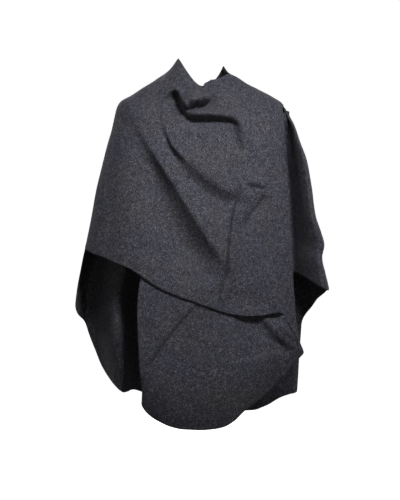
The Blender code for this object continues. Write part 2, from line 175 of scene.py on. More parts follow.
# Tucks are drawn as seen from the front, each along the line where its face is steepest. The cloth on
# the left of the way that the line runs stands prouder. slope is its rise for each mm across; the
# crest and the hollow lie that many mm from the line, and fade out above and below over those widths.
# The number after the name is how far the crest leans over the hollow.
TUCK_COLUMNS = ("x", "z", "slope", "crest", "hollow", "above", "below")
WRAP_TUCKS = (
    ("long tuck", 1, (
        (-206, -58, 0.1, 6, 10, 28, 30), (-183, -97, 0.25, 6, 12, 30, 34), (-162, -135, 0.5, 5, 16, 32, 42),
        (-138, -172, 0.9, 4, 22, 34, 54), (-96, -238, 1.3, 5, 34, 38, 74), (-73, -274, 1.3, 6, 42, 40, 86),
        (-39, -331, 1.25, 6, 50, 44, 96), (-3, -391, 1.2, 7, 54, 46, 100), (28, -437, 1.05, 8, 50, 44, 94),
        (56, -482, 0.6, 9, 40, 40, 80), (70, -508, 0.1, 9, 30, 36, 60),
    )),
    ("short tuck", 1, (
        (-105, -52, 0.2, 5, 6, 20, 18), (-109, -73, 0.5, 5, 7, 22, 20), (-105, -103, 0.8, 4, 7, 24, 20),
        (-95, -132, 1.3, 4, 7, 26, 20), (-84, -156, 1.9, 3, 7, 28, 22), (-69, -177, 2.3, 3, 8, 30, 24),
        (-56, -193, 1.5, 5, 14, 32, 30), (-42, -209, 1.0, 10, 20, 36, 40), (-21, -230, 0.95, 14, 27, 40, 50),
        (5, -253, 0.95, 16, 30, 44, 54), (31, -271, 0.95, 16, 30, 46, 52), (62, -287, 0.85, 15, 26, 44, 44),
        (93, -297, 0.6, 12, 18, 40, 30), (129, -316, 0.15, 10, 12, 34, 20),
    )),
    ("cowl", 2, (
        (-101, -36, 0.6, 6, 12, 10, 18), (-95, -24, 1.8, 7, 14, 14, 22), (-86, -15, 2.8, 7, 15, 16, 26),
        (-74, -10, 3.0, 7, 13, 14, 25), (-64, -17, 3.3, 5, 12, 12, 27), (-60, -34, 3.3, 5, 11, 14, 25),
        (-55, -51, 3.2, 6, 10, 16, 24), (-48, -66, 3.1, 8, 9, 18, 23), (-41, -77, 3.4, 15, 6, 26, 20),
        (-30, -85, 3.7, 20, 5, 29, 18), (-12, -87, 3.7, 19, 5, 28, 18), (26, -87, 3.4, 17, 5, 26, 18),
        (58, -89, 3.1, 15, 5, 25, 18), (80, -94, 2.4, 13, 8, 27, 22), (91, -107, 1.8, 12, 13, 28, 28),
        (95, -128, 1.4, 12, 19, 32, 34), (99, -150, 1.2, 12, 19, 32, 34), (106, -178, 0.3, 11, 16, 28, 28),
    )),
    ("neck roll", 2, (
        (-50, -67, 0.8, 8, 5, 14, 10), (-40, -62, 3.6, 15, 6, 27, 11), (-20, -55, 5.0, 20, 7, 36, 12),
        (1, -47, 5.0, 20, 7, 36, 12), (15, -37, 4.6, 18, 7, 32, 12), (21, -25, 3.0, 12, 6, 24, 11),
        (22, -12, 0.5, 8, 5, 16, 9),
    )),
    ("storage crease", 0, (
        (105, -258, 1.2, 3, 3, 16, 16), (96, -284, 2.8, 3, 3, 16, 16), (81, -325, 3.0, 3, 3, 18, 18),
        (74, -360, 2.8, 3, 3, 18, 18), (66, -434, 2.8, 3, 3, 18, 18), (64, -468, 2.8, 4, 4, 18, 18),
        (62, -494, 2.4, 4, 6, 20, 20), (54, -518, 2.6, 4, 8, 20, 22), (44, -548, 2.4, 4, 7, 20, 20),
        (35, -567, 1.2, 4, 6, 18, 16),
    )),
    ("storage fold", 0, (
        (105, -257, 1.0, 4, 4, 18, 14), (137, -264, 1.5, 4, 5, 20, 16), (171, -270, 0.8, 4, 4, 18, 14),
    )),
    ("collar edge", 0, (
        (-90, 47, 0.2, 3, 10, 14, 20), (-101, 31, 0.6, 3, 12, 16, 24), (-110, 12, 0.8, 3, 12, 18, 26),
        (-115, -11, 0.6, 3, 12, 18, 26), (-118, -36, 0.1, 3, 12, 18, 26),
    )),
)
FALL_TUCKS = (
    ("pressed line", 0, (
        (-150, -738, 1.2, 3, 3, 16, 16), (-120, -698, 2.3, 3, 3, 18, 18), (-85, -649, 2.5, 3, 3, 18, 18),
        (-48, -604, 2.5, 3, 3, 18, 18), (-18, -570, 2.0, 3, 3, 16, 16),
    )),
    ("side trough", 0, (
        (141, -566, 0.5, 5, 8, 26, 24), (154, -597, 1.4, 5, 10, 24, 28), (167, -625, 1.7, 5, 11, 22, 30),
        (188, -651, 1.7, 5, 11, 20, 28), (211, -674, 1.6, 5, 10, 18, 26), (238, -698, 0.9, 6, 8, 16, 22),
    )),
)

# Folds are ridges, or troughs where the height is negative. above and below are their widths on the
# left and right of the way that the line runs.
FOLD_COLUMNS = ("x", "z", "height", "above", "below")
WRAP_FOLDS = (
    ("comma hollow", (
        (-100, -22, -14, 18, 20), (-88, -33, -22, 20, 21), (-76, -52, -16, 16, 18), (-65, -72, -6, 12, 13),
    )),
    ("pinch", (
        (170, -285, -6, 12, 12), (149, -318, -14, 13, 12), (125, -350, -14, 12, 12), (107, -384, -6, 11, 11),
    )),
    ("low hollow", ((50, -560, -4, 30, 34), (121, -575, -8, 42, 40), (190, -575, -4, 36, 34))),
    ("outer hollow", (
        (-236, -225, -2, 16, 16), (-241, -303, -4, 18, 18),
        (-246, -385, -5, 20, 20), (-256, -463, -4, 20, 20),
    )),
    ("outer ridge", (
        (-179, -240, 1.5, 16, 16), (-181, -316, 3, 18, 18),
        (-189, -393, 3.5, 20, 18), (-204, -463, 2, 20, 18),
    )),
)
FALL_FOLDS = (
    ("side ridge", (
        (194, -622, 3, 8, 8), (208, -638, 8, 8, 8), (226, -655, 7, 7, 7), (246, -672, 3, 7, 7),
    )),
    ("corner hollow", ((145, -580, -8, 26, 26), (180, -596, -13, 26, 26), (206, -612, -7, 20, 20))),
    ("broad hollow", (
        (95, -540, -5, 34, 34), (118, -590, -11, 36, 36), (124, -650, -18, 38, 38), (138, -715, -12, 38, 38),
    )),
)
END_FADE = 14  # mm over which a fold fades in and out at its ends
LEAST_LEVEL = 0.2  # cloth that lies flatter than this is raised less
LEAN_HEIGHT = 8  # mm of height that gives a tuck its whole lean

# Flutes of the back: their angle at the neck and at the hem, half widths in degrees to the left
# and right as seen from the front, how far they stand back, and how far they lean to the right.
FLUTE_COLUMNS = ("top", "bottom", "left", "right", "back", "lean")
FLUTES = (
    ("outer valley", (150, 160, 8, 7, 16, 0)),
    ("inner ridge", (132, 125, 15, 3.4, -185, 5)),
    ("inner valley", (117, 115, 6, 7, 18, 0)),
    ("left back", (104, 102, 8, 8, -20, 0)),
    ("centre back", (92, 88, 9, 8, 22, 0)),
    ("right back", (76, 73, 7, 9, -19, 0)),
    ("outer right", (60, 58, 8, 7, 20, 0)),
    ("right edge", (44, 41, 5, 5, -14, 0)),
)
FLUTE_SWAY = 1.1  # degrees by which a flute's line sways
FLUTE_SWAY_RINGS = 0.45  # rings for each radian of that sway
FLUTE_SHARE = 0.5  # how much of a flute's depth counts in spacing the columns
FLUTE_START = 4.5  # ring where the flutes begin
FLUTE_FULL = 11  # ring where they reach their whole depth

# How the left front lies inside the form, under the right front, and comes out below it.
FALL_TOP = 1.6  # ring where the left front begins, on the shoulder
FALL_OFF_SEAM = 8  # degrees from the side seam
FALL_UNDER = 3.6  # mm inward at its top edge
FALL_WAVES = 0.85  # share of the cloth's slow waves that it has
FALL_PARTING = 0.35  # mm further inward for each mm down, as far as FALL_LAYER lets it
FLUSH_START = 200  # x from which its lower right corner comes forward to the wrapped front's face
FLUSH_WIDTH = 16  # mm across which it does
FLUSH_LEAD = 16  # mm above that front's hem where it starts to rise
FLUSH_UNDER = 2.8  # mm that it still lies deeper at that hem
FLUSH_DEPTH = 5  # mm below that hem over which it rises the rest
FALL_CURL = 34  # mm by which its hem curls under
FALL_CURL_REACH = 140  # mm up from the hem where that starts
FALL_LAYER = (  # z, mm inward
    (70, 24), (-260, 24), (-400, 16), (-480, 10), (-560, 9), (-640, 8), (-760, 6), (-950, 4),
)

# Soft unevenness of heavy cloth: slow waves, mm.
WAVES = (  # length across, length down, height, phase
    (310, 900, 1.3, 0.4), (190, -420, 0.9, 2.1), (-140, 260, 0.6, 4.4), (95, 170, 0.35, 1.2),
    (-70, 90, 0.2, 5.3),
)
WAVE_SKEW = 0.7  # how much a place's depth counts with its width
WAVE_BENDS = ((0.6, 130), (0.5, 170))  # how far they bend, and mm for each radian: across, then down
DRAPE_WAVES = 0.7  # share of them that the left arm drape has

# How finely the cloth is drawn, and how its edges are finished.
FALL_SAMPLES = 700  # along a fall, before it is cut into rows
SOURCE_COLUMNS = 300  # falls across a piece, before it is cut into columns
SAMPLES_PER_FOLD = 48  # along a fold's line
SETTLING_STEPS = 8  # in finding where an edge lies on the form
TINY = 1e-9  # the least length that is divided by
SEAM_REACH = 1.0  # mm from the side seams' plane within which a seam's edge is set on it
RIM_ARC = (45, 90, 135)  # degrees round a hem's folded edge
EDGE_STEPS = (0, 0.9, 2.2, 3.8, 5.6, 7.2, 8.4, 9.2, 10.0, 10.9, 12.2, 14.2)  # mm in from a hem
CREASE_LINE = ((60, 105), (-258, 105), (-325, 81), (-434, 66), (-494, 62), (-567, 35), (-700, 30))  # z, x
CREASE_CLOSER = 2.4  # how much closer the columns lie by that line
CREASE_REACH = 14  # mm from it over which they do
FOLD_REACH = 3.2  # widths past which a fold is left out
SIDE_BLEND = 3.0  # mm across a fold's line over which its two widths meet
FRONT_DEPTH = 20  # mm in front of the side seams over which the front's folds fade in
WAVE_FADE = 60  # mm down from the neck over which the unevenness fades in
SEAM_GAP = 0.06  # mm between two pieces at a side seam
HEM_STEP = 1.6  # mm past its stitching that a hem's turned cloth still stands out
HEM_SOFTNESS = 2  # mm over which it ends
HEM_ROLL = 1.2  # mm by which a hem's edge rolls inward
STITCH_DEPTH = 0.7  # mm by which the stitching pulls the cloth in
STITCH_SINK = 1.1  # mm, half width of the groove that it leaves
STITCH_SIDES = 6  # of a stitch's round section
STITCH_RINGS = (  # share of the stitch's length, share of its thickness, mm above the cloth
    (0.0, 0.35, -0.45), (0.12, 0.8, 0.0), (0.3, 1.0, 0.18),
    (0.7, 1.0, 0.18), (0.88, 0.8, 0.0), (1.0, 0.35, -0.45),
)
STITCH_ENDS = 12  # mm left bare at each end of a line of stitching
CELLS = {  # of each cloth: down, across
    "right_front": (225, 205), "left_front": (270, 150), "left_arm_drape": (150, 60), "back": (190, 240),
}

# Grain of each material: mm across, detail, roughness.
WOOL_GRAIN = {
    "flecks": (2.5, 3.0, 0.65),
    "clumps": (9.0, 2.0, 0.6),
    "clouds": (85.0, 1.0, 0.5),
    "nap": (1.5, 4.0, 0.7),
}
THREAD_GRAIN = {"twist": (0.6, 2.0, 0.5)}
PAPER_GRAIN = {"tooth": (4.0, 2.0, 0.5)}
CLUMPS_IN_COLOUR = 0.26  # how much the clumps count with the flecks
CLUMPS_IN_NAP = 0.6  # and with the nap
# Relief of that grain: strength, depth in mm.
WOOL_RELIEF = (0.5, 0.8)
THREAD_RELIEF = (0.5, 0.1)
PAPER_RELIEF = (0.1, 0.1)
# Which colour comes at which value of the grain.
FIBRE_STOPS = ((0.485, "dark"), (0.61, "mid"), (0.65, "mid"), (0.80, "pale"))
CLOUD_STOPS = ((0.3, "warm"), (0.7, "cool"))
# The thread's darker colour is painted shade between its strands, where the twist's bumps lie low.
THREAD_STOPS = ((0.35, "thread_painted_shade"), (0.6, "thread"))

# Studio, metres.
FLOOR_DROP = 0.42  # below the lowest hem
COVE_FLAT = 5.2  # radius of the flat floor of the round cove
COVE_CURVE = 1.6  # radius of the curve up to its wall
COVE_HEIGHT = 7.0
COVE_SIDES = 96
COVE_STEPS = 12  # of that curve
PAPER_GLOW = 0.95  # light that the paper gives off, so that it shows near white
AIR_LIGHT = (0.04, 0.13, 0.05)  # light from below, from the horizon and from above
SOFT_BOXES = (  # name, place, aim, side, spread in degrees, watts, colour
    ("key_soft_box", (0.40, -1.46, 0.68), (-0.05, -0.1, -0.27), 0.4, 84, 5.6, "#F6F7FF"),
    ("low_soft_box", (-0.8, -3.1, -0.6), (0.0, 0.0, -0.5), 1.0, 180, 3.6, "#FFF4E8"),
    ("left_soft_box", (-2.4, 2.2, 0.9), (0.0, 0.1, -0.4), 1.2, 180, 32, "#FFFFFF"),
    ("right_soft_box", (2.4, 2.2, 0.9), (0.0, 0.1, -0.4), 1.2, 180, 32, "#FFFFFF"),
    ("back_soft_box", (-0.4, 2.6, 1.1), (0.0, 0.0, -0.4), 1.6, 180, 75, "#FFFFFF"),
)
CAMERA_PLACE = (-0.008, -3.6, -0.432)
CAMERA_LENS = 96.0  # mm
CAMERA_SENSOR = 36.0  # mm across


def linear(colour):
    """A hex sRGB colour as linear RGBA."""
    parts = [int(colour[i : i + 2], 16) / 255 for i in (1, 3, 5)]
    return tuple(c / 12.92 if c <= 0.04045 else ((c + 0.055) / 1.055) ** 2.4 for c in parts) + (1.0,)


def colour_property(name, description, colour):
    """A colour that the sidebar shows as a swatch. Its default is a hex sRGB colour."""
    return bpy.props.FloatVectorProperty(
        name=name, description=description, default=linear(colour), size=4, min=0.0, max=1.0, subtype="COLOR"
    )


def size_property(name, description, usual, least, most):
    """A size that the sidebar shows as a length. Its default and limits are in millimetres."""
    return bpy.props.FloatProperty(
        name=name, description=description, default=usual * MM, min=least * MM, max=most * MM, unit="LENGTH"
    )


class PonchoColours(bpy.types.PropertyGroup):
    """Colours of the cloth, the thread and the stage."""

    dark: colour_property("Dark fibres", "Darkest fibres of the wool", "#2B2B31")
    mid: colour_property("Mid fibres", "Most of the wool's fibres", "#46464A")
    pale: colour_property("Pale fibres", "Palest fibres of the wool", "#7C7C84")
    warm: colour_property("Warm cloud", "Tint of its warmer clouds", "#FFFCF6")
    cool: colour_property("Cool cloud", "Tint of its cooler clouds", "#F4F6FF")
    bloom: colour_property("Bloom", "Colour of the nap where the cloth turns away", "#B9BAC4")
    thread: colour_property("Thread", "Sewing thread of the hems", "#4A4A52")
    # Painted shade between the thread's strands.
    thread_painted_shade: colour_property("Thread shade", "Between the thread's strands", "#26262B")
    paper: colour_property("Paper", "Floor and backdrop", "#F4F4F4")


class PonchoSizes(bpy.types.PropertyGroup):
    """Sizes of the cloth and of its sewing."""

    wall: size_property("Cloth thickness", "Thickness of the felted wool", 2.4, 1.0, 3.0)
    hem_width: size_property("Hem width", "From a hem's edge to its line of stitching", 9.2, 6.0, 14.0)
    hem_height: size_property("Hem height", "How far the turned cloth of a hem stands out", 0.5, 0.0, 1.0)
    stitch: size_property("Stitch length", "Length of one stitch that shows", 3.2, 2.0, 6.0)
    stitch_gap: size_property("Stitch gap", "Between one stitch and the next", 1.0, 0.5, 3.0)
    thread: size_property("Thread thickness", "Thickness of the sewing thread", 0.6, 0.3, 1.0)
    folds: bpy.props.FloatProperty(
        name="Fold strength", description="How far the folds stand out, against the worn cloth's own",
        default=1.0, min=0.0, max=1.2, subtype="FACTOR",
    )


def millimetres(name):
    """One of the garment's sizes, in millimetres."""
    return getattr(bpy.context.scene.poncho_sizes, name) / MM


def smooth(x, xs, ys):
    """A monotone cubic through the points (xs, ys), which may run either way."""
    xs, ys = np.asarray(xs, float), np.asarray(ys, float)
    if xs[0] > xs[-1]:
        xs, ys = xs[::-1], ys[::-1]
    step = np.diff(xs)
    slope = np.diff(ys) / step
    product = slope[1:] * slope[:-1]
    inner = np.where(product > 0, 2 * product / np.where(product > 0, slope[1:] + slope[:-1], 1), 0)
    tangent = np.concatenate([[slope[0]], inner, [slope[-1]]])
    x = np.clip(x, xs[0], xs[-1])
    i = np.clip(np.searchsorted(xs, x, side="right") - 1, 0, len(step) - 1)
    t = (x - xs[i]) / step[i]
    return (
        ys[i] * (1 + 2 * t) * (1 - t) ** 2
        + tangent[i] * step[i] * t * (1 - t) ** 2
        + ys[i + 1] * t * t * (3 - 2 * t)
        - tangent[i + 1] * step[i] * t * t * (1 - t)
    )


def along(points, x):
    """The value at x of a table of pairs, smoothed."""
    table = np.array(points, float)
    return smooth(x, table[:, 0], table[:, 1])


def ring_value(column, level):
    """One of the form's columns at a level, which counts the rings from the neck down."""
    rows = np.array(RINGS, float)
    return smooth(level, np.arange(len(RINGS)), rows[:, RING_COLUMNS.index(column)])


def ease(t):
    """Softly from 0 to 1, as t goes there."""
    t = np.clip(t, 0, 1)
    return t * t * (3 - 2 * t)


def power(value, exponent):
    """The value to a power, with its sign kept."""
    return np.sign(value) * np.abs(value) ** exponent


def reaches(level, tucked):
    """How far a ring reaches to the left and right, as seen from the front."""
    right_z = ring_value("right_z", level)
    left_x, right_x = along(LEFT_OUTLINE, ring_value("left_z", level)), along(RIGHT_OUTLINE, right_z)
    if tucked:
        right_x = np.minimum(right_x, along(WRAP_EDGE, right_z) + ring_value("past_edge", level))
    return left_x, right_x


def form(angle, level, tucked=False):
    """Points of the worn form. From the front, angle 0 is on the right, 90 behind, 180 on the left.

    tucked gives the narrower ring of the two fronts, which closes just past the wrapped edge.
    """
    angle, level = np.broadcast_arrays(np.asarray(angle, float), np.asarray(level, float))
    across, away = np.cos(np.radians(angle)), np.sin(np.radians(angle))
    left_x, right_x = reaches(level, tucked)
    exponent = 2 / ring_value("square", level)
    x = (left_x + right_x) / 2 + (right_x - left_x) / 2 * power(across, exponent)
    y = np.where(away < 0, -ring_value("front_y", level), ring_value("back_y", level)) * power(away, exponent)
    side_z = np.where(across < 0, ring_value("left_z", level), ring_value("right_z", level))
    middle_z = np.where(away < 0, ring_value("front_z", level), ring_value("back_z", level))
    dip = np.where(across < 0, ring_value("left_dip", level), ring_value("right_dip", level))
    to_side = np.abs(across) ** dip
    z = side_z * to_side + middle_z * (1 - to_side)
    return np.stack([x, y, z], axis=-1)


def unit(vectors, least=TINY):
    """The vectors at a length of 1. One shorter than least stays shorter."""
    return vectors / np.maximum(np.linalg.norm(vectors, axis=-1, keepdims=True), least)


def lengths(grid, axis=0):
    """How far each point of a grid or line lies from its start along that axis, along the cloth."""
    steps = np.linalg.norm(np.diff(grid, axis=axis), axis=-1)
    start = np.zeros_like(np.take(steps, [0], axis))
    return np.concatenate([start, np.cumsum(steps, axis=axis)], axis=axis)


def points_at(places, run, line):
    """What a line has at some places along its run: its points, or its normals."""
    return np.stack([np.interp(places, run, column) for column in line.T], axis=-1)


def crossing(values):
    """Where the values first fall below 0, as a fractional index."""
    below = np.nonzero(values < 0)[0]
    if not len(below) or below[0] == 0:
        return len(values) - 1
    i = below[0]
    return i - 1 + values[i - 1] / (values[i - 1] - values[i])


def stations(length, cells, start_hem=False, end_hem=False, closer=0.0):
    """Distances along a line of cloth: close together in a hem, else even, or closer at the start."""
    start = np.array(EDGE_STEPS if start_hem else (0.0,))
    end = length - np.array(EDGE_STEPS if end_hem else (0.0,))[::-1]
    share = np.linspace(0, 1, cells + 3 - len(start) - len(end))[1:-1]
    share = share * (1 - closer * (1 - share))
    return np.concatenate([start, start[-1] + (end[0] - start[-1]) * share, end])


def cut_falls(falls, hem, cells, closer=0.0):
    """Cuts each fall of a grid where it passes the hem's height there, and spaces its rows again."""
    cut = []
    for fall, above in zip(np.moveaxis(falls, 1, 0), (falls[..., 2] - hem).T):
        run = lengths(fall)
        stop = np.interp(crossing(above), np.arange(len(fall)), run)
        cut.append(points_at(stations(stop, cells, end_hem=True, closer=closer), run, fall))
    return np.stack(cut, axis=1)


def cut_columns(grid, cells, start_hem=False, end_hem=False, crease=None):
    """The grid with its columns spaced again along each row, closer in a hemmed edge and by a crease."""
    rows = []
    for row, run in zip(grid, lengths(grid, 1)):
        if crease:
            off = (row[:, 0] - along(crease, row[:, 2])) / CREASE_REACH
            closer = 1 + CREASE_CLOSER * np.exp(-(off**2))
            run = np.concatenate([[0], np.cumsum(np.diff(run) * (closer[1:] + closer[:-1]) / 2)])
        rows.append(points_at(stations(run[-1], cells, start_hem, end_hem), run, row))
    return np.stack(rows)


def normals_of(grid):
    """Unit normals of a grid of points, to the outside of the garment."""
    return unit(np.cross(np.gradient(grid, axis=0), np.gradient(grid, axis=1)))


def fold_line(rows, columns):
    """A fold's columns along a smooth line through its points, and how far it has faded in there."""
    rows = np.array(rows, float)
    run = lengths(rows[:, :2])
    at = np.linspace(0, run[-1], SAMPLES_PER_FOLD)
    line = {name: smooth(at, run, rows[:, i]) for i, name in enumerate(columns)}
    fade = ease(at / END_FADE) * ease((run[-1] - at) / END_FADE)
    return line, fade


def beside(seen, rows, columns):
    """Where the points lie beside a fold's line.

    It gives which are near, how far to its left they are, its columns and fade there, and the way across.
    """
    line, fade = fold_line(rows, columns)
    path = np.stack([line["x"], line["z"]], axis=-1)
    reach = FOLD_REACH * max(line["above"].max(), line["below"].max())
    near = ((seen > path.min(0) - reach) & (seen < path.max(0) + reach)).all(-1)
    towards = seen[near][:, None, :] - path[:-1]
    step = np.diff(path, axis=0)
    share = np.clip((towards * step).sum(-1) / (step**2).sum(-1), 0, 1)
    gap = np.linalg.norm(towards - share[..., None] * step, axis=-1)
    nearest = gap.argmin(-1)[:, None]
    turn = step[:, 0] * towards[..., 1] - step[:, 1] * towards[..., 0]
    gap, turn, share = (np.take_along_axis(part, nearest, -1)[:, 0] for part in (gap, turn, share))
    place = nearest[:, 0] + share
    samples = np.arange(len(path))
    at = {name: np.interp(place, samples, values) for name, values in line.items()}
    at["fade"] = np.interp(place, samples, fade)
    ways = unit(np.stack([step[:, 1], -step[:, 0]], axis=-1))
    return near, gap * np.sign(turn), at, ways[nearest[:, 0]]


def tuck_depths(seen, tucks):
    """How far each point moves out, and along the front, for the tucks."""
    out, along_front = np.zeros(seen.shape[:2]), np.zeros(seen.shape)
    for _, lean, rows in tucks:
        near, left, at, way = beside(seen, rows, TUCK_COLUMNS)
        knee = np.where(left > 0, at["crest"], at["hollow"])
        width = np.where(left > 0, at["above"], at["below"])
        height = at["slope"] * knee * np.tanh(left / knee) * np.exp(-((left / width) ** 2)) * at["fade"]
        out[near] += height
        along_front[near] += way * (lean * np.clip(height / LEAN_HEIGHT, 0, 1))[:, None]
    return out, along_front


def fold_depths(seen, folds):
    """How far each point moves out for the ridges and troughs."""
    out = np.zeros(seen.shape[:2])
    for _, rows in folds:
        near, left, at, _ = beside(seen, rows, FOLD_COLUMNS)
        # The two widths meet softly across the line, so that no step shows along it.
        lean = ease(0.5 + 0.5 * left / SIDE_BLEND)
        reach = left / (at["below"] + (at["above"] - at["below"]) * lean)
        out[near] += at["height"] * np.exp(-(reach**2)) * at["fade"]
    return out


def folded(grid, folds, tucks=()):
    """The grid with its folds and tucks raised straight out, as level as the ground."""
    seen = grid[..., [0, 2]]
    facing = ease(-grid[..., 1] / FRONT_DEPTH)
    out, along_front = tuck_depths(seen, tucks)
    level = unit(normals_of(grid) * (1, 1, 0), LEAST_LEVEL)
    facing = facing * bpy.context.scene.poncho_sizes.folds
    grid = grid + level * ((out + fold_depths(seen, folds)) * facing)[..., None]
    grid[..., [0, 2]] += along_front * facing[..., None]
    return grid


def waved(grid, strength=1.0):
    """The grid with the slow unevenness of heavy cloth."""
    x, z = grid[..., 0] + grid[..., 1] * WAVE_SKEW, grid[..., 2]
    (bend_across, mm_across), (bend_down, mm_down) = WAVE_BENDS
    out = 0
    for across, down, height, phase in WAVES:
        bend = bend_across * np.sin(x / mm_across + phase) + bend_down * np.sin(z / mm_down - phase)
        out = out + height * np.sin(2 * math.pi * (x / across + z / down) + phase + bend)
    fade = ease(lengths(grid) / WAVE_FADE)
    return grid + normals_of(grid) * (out * fade * strength)[..., None]


def turn_at(level, x, left_x, right_x):
    """The angle up to 180 at which a ring between left_x and right_x reaches x."""
    share = np.clip((x - (left_x + right_x) / 2) / ((right_x - left_x) / 2), -1, 1)
    return np.degrees(np.arccos(power(share, ring_value("square", level) / 2)))


def back_hem(angles):
    """The height of the back's hem at each angle round the form."""
    rows = np.array(BACK_HEM, float)
    levels = np.arange(len(RINGS))
    level = np.interp(-rows[:, 1], -np.array([ring[1] for ring in RINGS]), levels)
    at = turn_at(level, rows[:, 0], along(LEFT_OUTLINE, rows[:, 1]), along(RIGHT_OUTLINE, rows[:, 1]))
    at[0], at[-1] = 180, 0
    for i in range(1, len(at) // 2):
        at[i] = min(at[i], at[i - 1] - HEM_TURN)
        at[-1 - i] = max(at[-1 - i], at[-i] + HEM_TURN)
    return smooth(angles, at, rows[:, 1])


def angle_along(edge, level):
    """The angle, on the tucked form, of a line that is given as seen from the front, at each level."""
    height = ring_value("right_z", level)
    for _ in range(SETTLING_STEPS):
        angle = 360 - turn_at(level, along(edge, height), *reaches(level, tucked=True))
        height = (height + form(angle, level, tucked=True)[:, 2]) / 2
    return angle


def wrap_grid(rows, columns):
    """The right front: from the right side seam across the chest to the wrapped edge."""
    share = np.linspace(0, 1, SOURCE_COLUMNS + 1)
    top = RIM_DROP * ease((share - RIM_DROP_START) / (1 - RIM_DROP_START))
    level = np.linspace(top, LAST_RING, FALL_SAMPLES)
    levels = np.linspace(0, LAST_RING, FALL_SAMPLES)
    edge = np.interp(level, levels, angle_along(WRAP_EDGE, levels))
    falls = form(180 + share * (edge - 180), level, tucked=True)
    grid = cut_falls(falls, along(WRAP_HEM, falls[..., 0]), rows, CLOSER_AT_NECK)
    grid = cut_columns(grid, columns, end_hem=True, crease=CREASE_LINE)
    # The rolled collar ends in a notch, and the rim beyond it stands higher.
    grid[..., 2] += along(RIM_LIFT, grid[..., 0]) * ease(1 - lengths(grid) / RIM_LIFT_DEPTH)
    return grid


def fall_grid(rows, columns):
    """The left front: under the right front from the left shoulder, then the long rounded fall."""
    level = np.linspace(FALL_TOP, LAST_RING, FALL_SAMPLES)
    inner = angle_along(FALL_INNER_EDGE, level)
    outer = np.minimum(angle_along(FALL_OUTER_EDGE, level), 360 - FALL_OFF_SEAM)
    share = np.linspace(0, 1, SOURCE_COLUMNS + 1)
    falls = form(inner[:, None] + share * (outer - inner)[:, None], level[:, None], tucked=True)
    grid = cut_falls(falls, along(FALL_HEM, falls[..., 0]), rows)
    grid = cut_columns(grid, columns, start_hem=True, end_hem=True)
    down = lengths(grid)
    inward = np.minimum(FALL_UNDER + FALL_PARTING * down, along(FALL_LAYER, grid[..., 2]))
    # Past the wrapped front's hem its lower right corner comes forward and runs on from that front.
    past_hem = along(WRAP_HEM, grid[..., 0]) - grid[..., 2]
    corner = ease((grid[..., 0] - FLUSH_START) / FLUSH_WIDTH)
    inward = inward + (FLUSH_UNDER - inward) * corner * ease(1 + past_hem / FLUSH_LEAD)
    inward = inward * (1 - corner * ease(past_hem / FLUSH_DEPTH))
    grid = grid - normals_of(grid) * inward[..., None]
    grid[..., 1] += FALL_CURL * np.clip(1 - (down[-1:] - down) / FALL_CURL_REACH, 0, 1) ** 2
    return grid


def drape_grid(rows, columns):
    """The left arm drape: from the side seam round its ridge and into the valley behind the edge."""
    level = np.linspace(DRAPE_TOP, LAST_RING, FALL_SAMPLES)
    side = form(0.0, level)
    height = side[:, 2]
    edge = along(WRAP_EDGE, height)
    table = np.array(DRAPE_DEPTHS, float)
    depths = np.stack([smooth(height, table[:, 0], table[:, 1 + i]) for i in range(3)], axis=1)
    shares = [station[0] for station in DRAPE_STATIONS]
    x = np.stack([edge + reach * (side[:, 0] - edge) + past for _, reach, past, _ in DRAPE_STATIONS], axis=1)
    y = np.stack([depths @ np.array(parts) for _, _, _, parts in DRAPE_STATIONS], axis=1)
    share = np.linspace(0, 1, SOURCE_COLUMNS // 2 + 1)
    across = [np.array([smooth(share, shares, row) for row in part]) for part in (x, y)]
    falls = np.stack([*across, height[:, None] - DRAPE_LEAN * share], axis=-1)
    grid = cut_falls(falls, along(DRAPE_HEM, share), rows)
    return cut_columns(grid[:, ::-1], columns, start_hem=True)


def fluting(angle, level):
    """How far the flutes move each place of the back to the right and back."""
    growth = ease((level - FLUTE_START) / (FLUTE_FULL - FLUTE_START))[:, None]
    moved = np.zeros((len(level), len(angle), 2))
    for _, sizes in FLUTES:
        flute = dict(zip(FLUTE_COLUMNS, sizes))
        middle = flute["top"] + (flute["bottom"] - flute["top"]) * level / LAST_RING
        middle = middle + FLUTE_SWAY * np.sin(level / FLUTE_SWAY_RINGS)
        off = angle - middle[:, None]
        bulge = growth * np.exp(-((off / np.where(off > 0, flute["left"], flute["right"])) ** 2))
        moved += bulge[..., None] * (flute["lean"], flute["back"])
    return moved


def back_grid(rows, columns):
    """The back, from the left side seam to the right, with its flutes."""
    level = np.linspace(0, LAST_RING, FALL_SAMPLES)
    angles = np.linspace(0, 180, FALL_SAMPLES)
    hem = back_hem(angles)
    steps = np.stack([angles * MM_PER_DEGREE, hem, fluting(angles, level)[-1, :, 1] * FLUTE_SHARE], axis=1)
    run = lengths(steps)
    angle = np.interp(np.linspace(0, run[-1], columns + 1), run, angles)
    falls = form(angle, level[:, None])
    falls[..., :2] += fluting(angle, level)
    return cut_falls(falls, back_hem(angle), rows)


def hem_relief(distance):
    """How far a hem stands out at each distance from its edge: a turned band and its line of stitching."""
    width = millimetres("hem_width")
    band = millimetres("hem_height") * ease((width + HEM_STEP - distance) / HEM_SOFTNESS)
    groove = STITCH_DEPTH * np.exp(-(((distance - width) / STITCH_SINK) ** 2))
    roll = HEM_ROLL * np.clip(1 - distance / width, 0, 1) ** 2
    return band - groove - roll


def hemmed(grid, hems, ends=None):
    """The grid with the relief of its hems. ends is the x between which its bottom hem fades away."""
    across, down = lengths(grid, 1), lengths(grid)
    distances = {"start": across, "end": across[:, -1:] - across, "bottom": down[-1:] - down}
    relief = 0
    for hem in hems:
        part = hem_relief(distances[hem])
        if ends and hem == "bottom":
            part = part * ease((ends[1] - grid[..., 0]) / (ends[1] - ends[0]))
        relief = relief + part
    return grid + normals_of(grid) * relief[..., None]


def placed(name, data):
    """An object in the scene that shows a mesh, a light or a camera."""
    thing = bpy.data.objects.new(name, data)
    bpy.context.scene.collection.objects.link(thing)
    return thing


